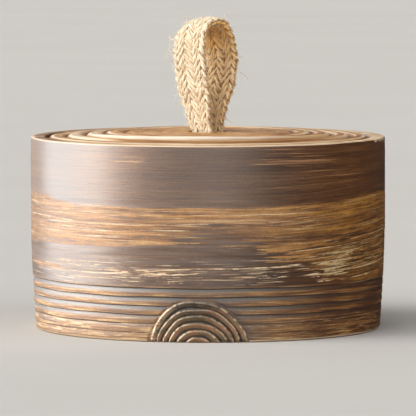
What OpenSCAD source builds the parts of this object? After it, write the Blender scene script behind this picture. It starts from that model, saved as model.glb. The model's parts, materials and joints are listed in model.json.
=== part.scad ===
// Low round stoneware tea canister: a carved pot, an inset lid turned like the end
// of a log, a silicone seal on the lid's skirt and a braided jute strap to lift it by.
// Millimetres, +Z up, origin on the table at the middle of the base, carved knot on -Y.

/* [Pot] */
// Outer diameter at the widest level
body_d = 120; // [110:1:150]
// How far the wall draws in from the widest level to the table
base_inset = 1.7; // [0.4:0.1:5]
// How far the wall draws in from the widest level to the rim
rim_inset = 0.2; // [0:0.1:2]
// Height of the widest level above the table
belly_h = 44; // [30:1:52]
// Height of the rim above the table
rim_h = 64.8; // [60:0.1:90]
// Thickness of the wall, from the rim down
wall = 5; // [4:0.25:6.5]
// Thickness of the floor above the foot's hollow
floor_t = 4.5; // [3.5:0.25:7]
// Rounding between the floor and the wall inside
floor_round = 7; // [3:0.5:12]
// Rounding of the rim's outer edge
rim_round = 0.5; // [0.3:0.1:2]
// Rounding of the foot's outer edge
foot_round = 1.4; // [0.5:0.1:2.5]
// Width of the ring that the pot stands on
foot_ring_w = 8; // [5:0.5:14]
// Depth of the hollow inside the foot ring
foot_hollow = 1.2; // [0.6:0.1:2.5]

/* [Mouth] */
// Depth of the lid's recess below the rim
recess_depth = 6; // [5:0.25:8]
// Width of the ledge that carries the lid
ledge_w = 3; // [2:0.25:4.5]
// Height of the straight bore below the ledge
neck_h = 8; // [7.5:0.5:12]

/* [Carving] */
// Number of turned grooves above the foot
groove_count = 6; // [3:1:8]
// Height of the lowest groove's upper edge
groove_low = 3.4; // [3.3:0.1:6]
// Distance from one groove to the next
groove_pitch = 2.93; // [2.1:0.01:4]
// Width of a groove at the surface
groove_w = 1.8; // [0.9:0.1:2]
// Depth of a groove, just under its upper edge
groove_depth = 0.7; // [0.3:0.05:0.9]
// Height of a groove's steep upper side
groove_lip = 0.3; // [0.1:0.05:0.6]
// Plain margin between the grooves and the knot
knot_margin = 0.6; // [0.2:0.1:2]
// Radius of the carved knot's outer ridge
knot_r = 16.4; // [13:0.1:20]
// Depth of the knot's centre below the table
knot_sink = 2.3; // [0:0.1:4]
// Radius of the knot's plain middle
knot_eye_r = 3.7; // [2.5:0.1:6]
// Number of channels in the knot
knot_channels = 5; // [3:1:6]
// Width of a channel
knot_channel_w = 1.3; // [0.8:0.1:1.8]
// Depth of a channel
knot_depth = 0.65; // [0.3:0.05:0.9]

/* [Lid] */
// Gap between the lid and the wall of its recess
lid_gap = 0.6; // [0.3:0.1:1]
// Height of the lid's sunken eye above the rim
lid_rise = 1.5; // [1:0.1:3]
// Height above the rim that the ringed dome would reach in the middle
dome_rise = 2.4; // [1.6:0.1:4]
// Thickness of the lid at its middle
lid_t = 6; // [5:0.25:8]
// Diameter of the lid's sunken eye
lid_eye_d = 56.8; // [44:0.4:66]
// Number of turned rings on the lid
ring_count = 4; // [2:1:5]
// Width of the steep inner side of a ring
ring_drop_w = 1.2; // [0.6:0.1:2]
// Height of the dome above the grooves, before it fades inwards
ring_relief = 0.95; // [0.4:0.05:1.2]
// Share of that height that each groove keeps of the one outside it
ring_fade = 0.92; // [0.7:0.01:1]
// Width of the steep outer side of a ring
ring_climb_w = 1.4; // [0.8:0.1:2]
// Share of the relief that is left to climb inside the steep outer side
ring_climb = 0.2; // [0.1:0.05:0.5]
// Gap between the lid's skirt and the neck
skirt_gap = 1.3; // [0.8:0.1:2]
// Thickness of the skirt
skirt_t = 4; // [3.2:0.1:5]
// Depth of the skirt below the ledge
skirt_h = 7; // [6:0.25:7.5]
// Diameter of the strap's hole
hole_d = 13; // [9:0.25:15]

/* [Seal] */
// Depth of the seal's groove in the skirt
seal_seat = 1.4; // [1:0.1:2]
// Height of the seal
seal_h = 3.6; // [3:0.1:4.5]
// Gap between the seal and its groove
seal_fit = 0.08; // [0.02:0.01:0.1]
// Gap between the seal's lips and the neck
seal_gap = 0.2; // [0.1:0.05:0.4]
// Number of lips on the seal
lip_count = 2; // [2:1:3]
// Thickness of a lip at its root
lip_t = 1.1; // [0.6:0.1:1.2]

/* [Strap] */
// Width of the braid
strap_w = 15; // [10:0.5:18]
// Width of the braid where it is gathered into the hole
strap_neck_w = 10; // [7:0.2:12]
// Thickness of the braid
strap_t = 2.5; // [1.5:0.1:3]
// Height of the loop above the lid
loop_h = 39; // [30:0.5:55]
// Outer width of the loop across its two legs
loop_w = 18; // [14:0.5:24]
// Turn of the braid's width from the X axis
strap_turn = -42; // [-90:1:90]
// Gap between the strap and the stoneware, and where the strap flexes
strap_gap = 0.3; // [0.2:0.05:0.5]
// How far the knot's flat top reaches past the edge of the hole
knot_seat = 1.5; // [0.5:0.1:3]
// Diameter of the knot under the lid
strap_knot_d = 21; // [18:0.5:26]
// Height of the knot
strap_knot_h = 10; // [8:0.5:11]

/* [Hidden] */
$fn = 96;
clay = "#8a6a4e";
jute = "#dcbf92";
rubber = "#d9d6cc";

// Steps along each curved stretch of a profile
wall_steps = 12;
arc_steps = 6;
loop_steps = 56;
// Cutters reach this far past what they cut
over = 5;

body_r = body_d / 2;
base_r = body_r - base_inset;
rim_r = body_r - rim_inset;
recess_r = rim_r - wall;
neck_r = recess_r - ledge_w;
floor_z = foot_hollow + floor_t;
ledge_z = rim_h - recess_depth;
neck_low_z = ledge_z - neck_h;

// Outer radius of the pot's wall at a height
function wall_r(z) = z < belly_h
    ? body_r - base_inset * pow(1 - z / belly_h, 2)
    : body_r - rim_inset * pow((z - belly_h) / (rim_h - belly_h), 2);
function cavity_r(z) = wall_r(z) - wall;

// Points of an arc about a centre, from one angle to another
function arc(centre, r, from, to) =
    [for (i = [0 : arc_steps]) centre + r * [cos(from + (to - from) * i / arc_steps),
                                             sin(from + (to - from) * i / arc_steps)]];

// Section of the pot: foot, outer wall, rim, recess, ledge, neck, cavity and floor
module pot_section() {
    foot_in = base_r - foot_ring_w;
    outside = [for (i = [0 : wall_steps])
        let (z = foot_round + (rim_h - rim_round - foot_round) * i / wall_steps) [wall_r(z), z]];
    cavity_top = neck_low_z - (cavity_r(neck_low_z) - neck_r);
    cavity_low = floor_z + floor_round;
    inside = [for (i = [0 : wall_steps])
        let (z = cavity_top + (cavity_low - cavity_top) * i / wall_steps) [cavity_r(z), z]];
    polygon(concat(
        [[0, foot_hollow], [foot_in - foot_hollow, foot_hollow], [foot_in, 0]],
        arc([wall_r(foot_round) - foot_round, foot_round], foot_round, -90, 0),
        outside,
        arc([wall_r(rim_h - rim_round) - rim_round, rim_h - rim_round], rim_round, 0, 90),
        arc([recess_r + rim_round / 2, rim_h - rim_round / 2], rim_round / 2, 90, 180),
        [[recess_r, ledge_z], [neck_r, ledge_z], [neck_r, neck_low_z]],
        inside,
        arc([cavity_r(cavity_low) - floor_round, cavity_low], floor_round, 0, -90),
        [[0, floor_z]]));
}

// Round cutter on the front of the pot, centred on the knot
module knot_disc(r) {
    translate([0, 0, -knot_sink])
        rotate([90, 0, 0])
            cylinder(r = r, h = body_d);
}

// Layer of the pot's wall from a depth outwards, as high as the knot
module wall_layer(depth) {
    top = knot_r + over;
    rotate_extrude()
        polygon(concat(
            [for (i = [0 : wall_steps]) let (z = -over + (top + over) * i / wall_steps)
                [wall_r(z) - depth, z]],
            [[body_r + over, top], [body_r + over, -over]]));
}

// Turned grooves, steep above and sloping out below, which stop short of the knot
module grooves() {
    difference() {
        for (i = [0 : groove_count - 1])
            let (high = groove_low + i * groove_pitch,
                 deep = high - groove_lip,
                 low = high - groove_w)
                rotate_extrude()
                    polygon([[wall_r(high), high], [wall_r(deep) - groove_depth, deep],
                             [wall_r(low), low], [body_r + over, low], [body_r + over, high]]);
        knot_disc(knot_r + knot_margin);
    }
}

// Half-round channels between the ridges of the knot
module knot_channels() {
    pitch = (knot_r - knot_eye_r - knot_channel_w / 2) / knot_channels;
    intersection() {
        wall_layer(knot_depth);
        for (i = [0 : knot_channels - 1])
            let (r = knot_r - (i + 1) * pitch)
                difference() {
                    knot_disc(r + knot_channel_w / 2);
                    knot_disc(r - knot_channel_w / 2);
                }
    }
}

module canister_body() {
    color(clay)
        difference() {
            rotate_extrude()
                pot_section();
            grooves();
            knot_channels();
        }
}

lid_r = recess_r - lid_gap;
lid_top = rim_h + lid_rise;
lid_under = lid_top - lid_t;
skirt_r = neck_r - skirt_gap;
skirt_in = skirt_r - skirt_t;
skirt_low = ledge_z - skirt_h;
hole_r = hole_d / 2;
ring_pitch = (lid_r - lid_eye_d / 2) / ring_count;
edge_round = 0.6;

// Height of the lid's dome at a radius
function dome(r) = rim_h + dome_rise * (1 - pow(r / lid_r, 2));
// Outer radius of a ring, and the height of the dome above the groove there
function ring_r(i) = lid_r - i * ring_pitch;
function relief(i) = ring_relief * pow(ring_fade, i);

// Middle of the seal's groove
seal_z = (ledge_z + skirt_low) / 2;
seal_in = skirt_r - seal_seat;

// Section of the lid: sunken eye, domed rings, edge, skirt with the seal's groove, underside
module lid_section() {
    rings = [for (i = [0 : ring_count - 1])
        let (crest_r = ring_r(i + 1) + ring_drop_w, climb_r = ring_r(i) - ring_climb_w)
            each concat(
                i == 0 ? [] : [[ring_r(i), dome(ring_r(i)) - relief(i)],
                               [climb_r, dome(climb_r) - relief(i) * ring_climb]],
                [[crest_r, dome(crest_r)]])];
    eye_r = ring_r(ring_count);
    polygon(concat(
        [[hole_r, lid_under], [hole_r, lid_top - edge_round], [hole_r + edge_round, lid_top],
         [eye_r - ring_climb_w, lid_top], [eye_r, dome(eye_r) - relief(ring_count)]],
        [for (i = [len(rings) - 1 : -1 : 0]) rings[i]],
        arc([lid_r - edge_round, dome(lid_r) - edge_round], edge_round, 90, 0),
        [[lid_r, ledge_z], [skirt_r, ledge_z],
         [skirt_r, seal_z + seal_h / 2], [seal_in, seal_z + seal_h / 2],
         [seal_in, seal_z - seal_h / 2], [skirt_r, seal_z - seal_h / 2],
         [skirt_r, skirt_low], [skirt_in, skirt_low], [skirt_in, lid_under]]));
}

module lid() {
    color(clay)
        rotate_extrude()
            lid_section();
}

// Silicone ring: a band in the skirt's groove, with tapered lips that brush the neck
module lid_seal() {
    band_in = seal_in + seal_fit;
    band_out = skirt_r + seal_fit;
    low = seal_z - seal_h / 2 + seal_fit;
    high = seal_z + seal_h / 2 - seal_fit;
    lip_r = neck_r - seal_gap;
    lip_step = (high - low) / lip_count;
    lips = [for (i = [0 : lip_count - 1])
        let (z = low + lip_step * (i + 0.5))
            each [[band_out, z - lip_t / 2], [lip_r, z + lip_t / 4], [band_out, z + lip_t / 2]]];
    color(rubber)
        rotate_extrude()
            polygon(concat([[band_in, low], [band_out, low]], lips,
                           [[band_out, high], [band_in, high]]));
}

// The two legs lie flat together where the strap flexes, just above the lid
flex_r = strap_t;
flex_z = lid_top + strap_gap + flex_r;
loop_top = lid_top + loop_h;

// Closed drop-shaped curve in the loop's plane: pointed below, round above
function drop(half_w, low, high) = [for (i = [0 : loop_steps - 1])
    let (a = 360 * i / loop_steps, widest = 4 / sqrt(27))
        [half_w / widest * sin(a) * sin(a / 2), low + (high - low) * (1 - cos(a)) / 2]];

module strap_loop() {
    outer_w = loop_w / 2;
    inner_w = outer_w - strap_t;
    leg_slope = atan(2 * outer_w / (4 / sqrt(27)) / (loop_top - flex_z));
    inner_low = flex_z + strap_t / sin(leg_slope);
    full_w_z = flex_z + (loop_top - flex_z) * 0.45;
    color(jute)
        rotate([0, 0, strap_turn]) {
            intersection() {
                rotate([90, 0, 90])
                    linear_extrude(strap_w, center = true)
                        difference() {
                            polygon(drop(outer_w, flex_z, loop_top));
                            polygon(drop(inner_w, inner_low, loop_top - strap_t));
                        }
                rotate([90, 0, 0])
                    linear_extrude(2 * loop_w, center = true)
                        polygon([[-strap_neck_w / 2, flex_z - over], [strap_neck_w / 2, flex_z - over],
                                 [strap_neck_w / 2, flex_z], [strap_w / 2, full_w_z],
                                 [strap_w / 2, loop_top + over], [-strap_w / 2, loop_top + over],
                                 [-strap_w / 2, full_w_z], [-strap_neck_w / 2, flex_z]]);
            }
            translate([0, 0, flex_z])
                rotate([0, 90, 0])
                    cylinder(r = flex_r, h = strap_neck_w, center = true);
        }
}

// Both ends of the strap, gathered through the hole and knotted under the lid
module strap_knot() {
    seat_r = hole_r + knot_seat;
    bulge = strap_knot_d / 2 - seat_r;
    half_h = strap_knot_h / 2;
    middle_z = lid_under - half_h;
    side = [for (i = [0 : 2 * arc_steps]) let (a = -90 + 90 * i / arc_steps)
        [seat_r + bulge * cos(a), middle_z + half_h * sin(a)]];
    color(jute) {
        rotate_extrude()
            polygon(concat([[0, middle_z - half_h]], side, [[0, middle_z + half_h]]));
        translate([0, 0, middle_z])
            cylinder(r = hole_r - strap_gap, h = lid_top - middle_z);
    }
}

canister_body();
lid();
lid_seal();
strap_loop();
strap_knot();
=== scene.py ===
"""Looks of a low stoneware tea canister: carved pot, ringed lid, seal and braided jute strap.

Shapes are worked out in millimetres and turned to metres where a mesh is made. Angles round the pot run from
0 at the front (-Y) towards +X.
"""

import json
import math
import random

import bpy
import numpy as np
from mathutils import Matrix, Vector, noise


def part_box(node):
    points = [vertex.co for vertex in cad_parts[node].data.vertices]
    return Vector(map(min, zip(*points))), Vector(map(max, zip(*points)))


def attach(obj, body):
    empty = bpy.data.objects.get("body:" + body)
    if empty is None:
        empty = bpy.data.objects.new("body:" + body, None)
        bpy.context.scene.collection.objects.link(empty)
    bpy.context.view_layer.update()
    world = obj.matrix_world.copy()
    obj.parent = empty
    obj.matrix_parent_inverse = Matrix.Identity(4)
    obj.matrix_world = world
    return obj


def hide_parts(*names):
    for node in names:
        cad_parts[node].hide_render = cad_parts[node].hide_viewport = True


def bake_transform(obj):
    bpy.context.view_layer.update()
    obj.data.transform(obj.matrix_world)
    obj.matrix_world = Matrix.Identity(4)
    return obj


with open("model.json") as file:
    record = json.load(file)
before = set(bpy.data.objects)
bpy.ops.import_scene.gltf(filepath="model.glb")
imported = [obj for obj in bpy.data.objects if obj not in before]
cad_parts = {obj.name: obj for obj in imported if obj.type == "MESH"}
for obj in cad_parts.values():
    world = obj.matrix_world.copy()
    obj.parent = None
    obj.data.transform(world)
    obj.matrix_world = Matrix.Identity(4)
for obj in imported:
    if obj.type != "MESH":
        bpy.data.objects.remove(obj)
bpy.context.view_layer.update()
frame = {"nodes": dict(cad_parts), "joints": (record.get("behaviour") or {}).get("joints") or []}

MM = 0.001
UP = np.array([0, 0, 1.0])
WHITE = (255, 255, 255)

# Pot, in millimetres
pot_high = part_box("canister_body")[1]
RIM_H = pot_high.z / MM
BODY_R = round(pot_high.x / MM)
BASE_INSET = 1.7
RIM_INSET = 0.2
BELLY_H = 44.0
WALL = 5.0
FLOOR_T = 4.5
FLOOR_ROUND = 7.0
RIM_ROUND = 0.5
RIM_LIP = 0.9
FOOT_ROUND = 1.4
FOOT_RING_W = 8.0
FOOT_HOLLOW = 1.2
RECESS_DEPTH = 6.0
LEDGE_W = 3.0
NECK_H = 8.0
RECESS_R = BODY_R - RIM_INSET - WALL
NECK_R = RECESS_R - LEDGE_W
LEDGE_Z = RIM_H - RECESS_DEPTH
FLOOR_Z = FOOT_HOLLOW + FLOOR_T

# Carving
GROOVE_COUNT = 6
GROOVE_LOW = 3.4
GROOVE_PITCH = 2.93
GROOVE_TOP = GROOVE_LOW + (GROOVE_COUNT - 1) * GROOVE_PITCH
GROOVE_W = 1.8
GROOVE_DEPTH = 0.7
GROOVE_LIP = 0.3
GROOVE_FADE = np.array((0.35, 0.6, 1, 1, 1, 1))
GROOVE_SLIP = np.array((0.1, 0.4, 0.8, 1, 1, 1))
KNOT_R = 16.4
KNOT_SINK = 2.3
KNOT_PITCH = 2.4
KNOT_EYE_R = 3.7
KNOT_DEPTH = 1.0
KNOT_MARGIN = 0.6

# Slip bands
TAN_TOP = 44.4
TAN_BOTTOM = 30.0
TAN_BOTTOM_RIGHT = 17.5

# Lid
LID_R = RECESS_R - 0.6
LID_RISE = 1.5
DOME_RISE = 2.4
LID_T = 6.0
RING_GROOVES = (48.1, 41.7, 35.1, 28.4)
RING_RELIEF = (1.1, 1.25, 0.6, 0.8)
RAISED_WALL = RING_GROOVES[1]
FRONT_GAP_R = 46.8
EYE_LINES = (22.6, 16.0)
EDGE_ROUND = 0.6
HOLE_R = 6.5
LID_TOP = RIM_H + LID_RISE
LID_UNDER = LID_TOP - LID_T
SKIRT_R = NECK_R - 1.3
SKIRT_IN = SKIRT_R - 4.0
SKIRT_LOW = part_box("lid")[0].z / MM
SEAL_SEAT = 1.4
SEAL_H = 3.6
SEAL_Z = (LEDGE_Z + SKIRT_LOW) / 2

# Strap
tilt = next(j for j in frame["joints"] if j["name"] == "strap_tilt")
STRAP_ACROSS = np.array(tilt["axis"], float)
STRAP_OUT = np.cross(UP, STRAP_ACROSS)
FLEX_Z = tilt["pos_m"][2] / MM
LOOP_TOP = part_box("strap_loop")[1].z / MM
STRAP_W = 15.2
STRAP_NECK_W = 10.2
STRAP_T = 2.5


# Small helpers

def srgb(red, green, blue):
    """Linear colour of an 8-bit screen colour."""
    def linear(v):
        v /= 255
        return v / 12.92 if v <= 0.04045 else ((v + 0.055) / 1.055) ** 2.4
    return (linear(red), linear(green), linear(blue), 1.0)


def smooth(low, high, value):
    """0 below low, 1 above high, and an even S between them."""
    t = np.clip((np.asarray(value, float) - low) / (high - low), 0, 1)
    return t * t * (3 - 2 * t)


def span(value, low, full, fade, end):
    """1 from full to fade, 0 below low and above end, and an even S between them."""
    return smooth(low, full, value) * (1 - smooth(fade, end, value))


def bell(value, at, width):
    """1 at a place, falling away smoothly on both sides of it."""
    return np.exp(-((value - at) / width) ** 2)


def wave(angle, seed, orders, size):
    """A closed, smooth, random ripple round the pot."""
    draw = random.Random(seed)
    total = np.zeros_like(angle)
    for order in orders:
        total += draw.uniform(0.4, 1) * np.sin(order * angle + draw.uniform(0, math.tau))
    return size * total / math.sqrt(len(orders))


def field(points):
    """Smooth noise, about -0.5 to 0.5, at an array of points."""
    values = [noise.noise(Vector(p)) for p in points.reshape(-1, 3)]
    return np.array(values).reshape(points.shape[:-1])


def unit(vectors):
    """Vectors made 1 long."""
    return vectors / np.linalg.norm(vectors, axis=-1, keepdims=True)


def full_turn(count):
    """Even angles once round, as a row."""
    return np.linspace(0, math.tau, count, endpoint=False)[None, :]


def turned(r, angle, z):
    """Points round the upright axis."""
    return np.stack([r * np.sin(angle), -r * np.cos(angle), z], axis=-1)


def columns(rows, count, angle):
    """The first few values of a section's rows, each as an array spread over all angles."""
    return [np.array([row[i] for row in rows], float)[:, None] + 0 * angle for i in range(count)]


def in_zone(rows, *names):
    """Which of a section's rows lie in these zones."""
    return np.array([row[-1] in names for row in rows])[:, None]


def link(name, data):
    """A new object in the scene."""
    piece = bpy.data.objects.new(name, data)
    bpy.context.scene.collection.objects.link(piece)
    return piece


def mesh_piece(name, points, faces, materials, face_material=None, attributes=None):
    """A smooth mesh object from points in millimetres. Points that an attribute doesn't reach have 0."""
    mesh = bpy.data.meshes.new(name)
    mesh.from_pydata((np.asarray(points, float).reshape(-1, 3) * MM).tolist(), [], faces)
    for material in materials:
        mesh.materials.append(material)
    if face_material is not None:
        mesh.polygons.foreach_set("material_index", np.asarray(face_material, np.int32))
    count = len(mesh.vertices)
    for key, values in (attributes or {}).items():
        values = np.asarray(values, np.float32).ravel()
        kind, slot, size = ("FLOAT_VECTOR", "vector", 3) if len(values) > count else ("FLOAT", "value", 1)
        layer = mesh.attributes.new(key, kind, "POINT")
        layer.data.foreach_set(slot, np.pad(values, (0, count * size - len(values))))
    mesh.polygons.foreach_set("use_smooth", [True] * len(mesh.polygons))
    mesh.update()
    return link(name, mesh)


def ring_faces(rows, sides, closed_rows=False):
    """Quads of a grid whose columns close on themselves, listed row by row."""
    index = np.arange(rows * sides).reshape(rows, sides)
    beside = np.roll(index, -1, axis=1)
    quads = np.stack([index, beside, np.roll(beside, -1, axis=0), np.roll(index, -1, axis=0)], axis=-1)
    if not closed_rows:
        quads = quads[:-1]
    return quads.reshape(-1, 4).tolist()


def arc(centre_r, centre_z, radius, start, stop, steps):
    """Points (r, z) on an arc, angles in degrees."""
    angles = np.radians(np.linspace(start, stop, steps + 1))
    return [(centre_r + radius * math.cos(a), centre_z + radius * math.sin(a)) for a in angles]


def spaced(start, stop, step):
    """Even values from start up to, but not with, stop."""
    count = max(1, round(abs(stop - start) / step))
    return [start + (stop - start) * i / count for i in range(count)]


class Value:
    """A level, colour or vector that a material's node gives. Reckoning with it adds nodes."""

    def __init__(self, look, socket):
        self.look = look
        self.socket = socket

    def math(self, operation, other=0.0):
        return self.look.node("ShaderNodeMath", 0, {0: self, 1: other}, operation=operation)

    def __add__(self, other):
        return self.math("ADD", other)

    def __sub__(self, other):
        return self.math("SUBTRACT", other)

    def __mul__(self, other):
        return self.math("MULTIPLY", other)

    def __or__(self, other):
        """The greater of two levels."""
        return self.math("MAXIMUM", other)

    def __abs__(self):
        return self.math("ABSOLUTE")

    def smooth(self, low, high):
        """0 at low, 1 at high, and an even S between them."""
        values = {"Value": self, "From Min": low, "From Max": high}
        return self.look.node("ShaderNodeMapRange", "Result", values, interpolation_type="SMOOTHSTEP")

    def range(self, low, high):
        """From low to high as the level goes from 0 to 1."""
        return self.look.node("ShaderNodeMapRange", "Result", {"Value": self, "To Min": low, "To Max": high})

    def spread(self, scale, offset=(0, 0, 0)):
        values = {"Vector": self, "Scale": scale, "Location": offset}
        return self.look.node("ShaderNodeMapping", "Vector", values)

    def noise(self, scale=1.0, detail=3.0, rough=0.55):
        values = {"Vector": self, "Scale": scale, "Detail": detail, "Roughness": rough}
        return self.look.node("ShaderNodeTexNoise", "Fac", values)

    def ramp(self, *stops):
        """Colours by level, from stops of (level, red, green, blue)."""
        made = self.look.node("ShaderNodeValToRGB", "Color", {"Fac": self})
        band = made.socket.node.color_ramp
        while len(band.elements) < len(stops):
            band.elements.new(0.5)
        for element, (place, *colour) in zip(band.elements, stops):
            element.position = place
            element.color = srgb(*colour)
        return made

    def mix(self, other, share):
        """This colour with a share of another laid over it."""
        return self.look.mix(share, self, other)

    def tint(self, other, share=1.0):
        """This colour with a share of it multiplied by another."""
        return self.look.mix(share, self, other, "MULTIPLY")


class Look:
    """A material whose nodes are added one call at a time.

    Colours of three numbers are 8-bit screen colours, those of four are linear, and one number is a grey.
    """

    def __init__(self, name):
        self.material = bpy.data.materials.new(name)
        self.material.use_nodes = True
        self.tree = self.material.node_tree
        self.tree.nodes.clear()
        self.shader = self.tree.nodes.new("ShaderNodeBsdfPrincipled")
        output = self.tree.nodes.new("ShaderNodeOutputMaterial")
        self.tree.links.new(self.shader.outputs["BSDF"], output.inputs["Surface"])

    def feed(self, socket, value):
        if isinstance(value, Value):
            self.tree.links.new(value.socket, socket)
        elif socket.type == "RGBA" and isinstance(value, float):
            socket.default_value = (value, value, value, 1.0)
        elif socket.type == "RGBA" and len(value) == 3:
            socket.default_value = srgb(*value)
        else:
            socket.default_value = value

    def node(self, kind, output, inputs, **settings):
        """Adds a node and gives one of its outputs."""
        made = self.tree.nodes.new(kind)
        for key, value in settings.items():
            setattr(made, key, value)
        for key, value in inputs.items():
            self.feed(made.inputs[key], value)
        return Value(self, made.outputs[output])

    def made(self, **values):
        """Sets the shader's inputs and gives the material."""
        for key, value in values.items():
            self.feed(self.shader.inputs[key.replace("_", " ")], value)
        return self.material

    def vector(self, name):
        return self.node("ShaderNodeAttribute", "Vector", {}, attribute_name=name)

    def levels(self, names):
        """Levels that a mesh keeps under these names."""
        return [self.node("ShaderNodeAttribute", "Fac", {}, attribute_name=name) for name in names.split()]

    def place(self):
        return self.node("ShaderNodeTexCoord", "Object", {})

    def mix(self, share, first, second, kind="MIX"):
        values = {0: share, 6: first, 7: second}
        return self.node("ShaderNodeMix", 2, values, data_type="RGBA", blend_type=kind)

    def bump(self, height, depth_mm, strength, under=None):
        values = {"Height": height, "Distance": depth_mm * MM, "Strength": strength}
        if under is not None:
            values["Normal"] = under
        return self.node("ShaderNodeBump", "Normal", values)


# Materials

def streaks(wood, thick, length, seed, detail=3.0, rough=0.55):
    """Noise drawn out along the grain, with streaks of a thickness and length in millimetres."""
    scale = (1 / length, 1 / length, 1 / thick)
    return wood.spread(scale, (seed * 7.31, seed * 3.17, seed * 5.73)).noise(detail=detail, rough=rough)


def sprinkle(marks, density, edge=0.07):
    """Marks where their noise is high, more of them where the density is high."""
    threshold, gain = 0.62, 0.4
    level = marks + (density - 0.5) * gain
    return level.smooth(threshold - edge / 2, threshold + edge / 2)


def scored(distance, shown):
    """A long thin line where a distance in millimetres is nothing, broken where little of it is shown."""
    half_full, half_faded = 0.10, 0.28
    return abs(distance).smooth(half_faded, half_full) * shown


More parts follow.
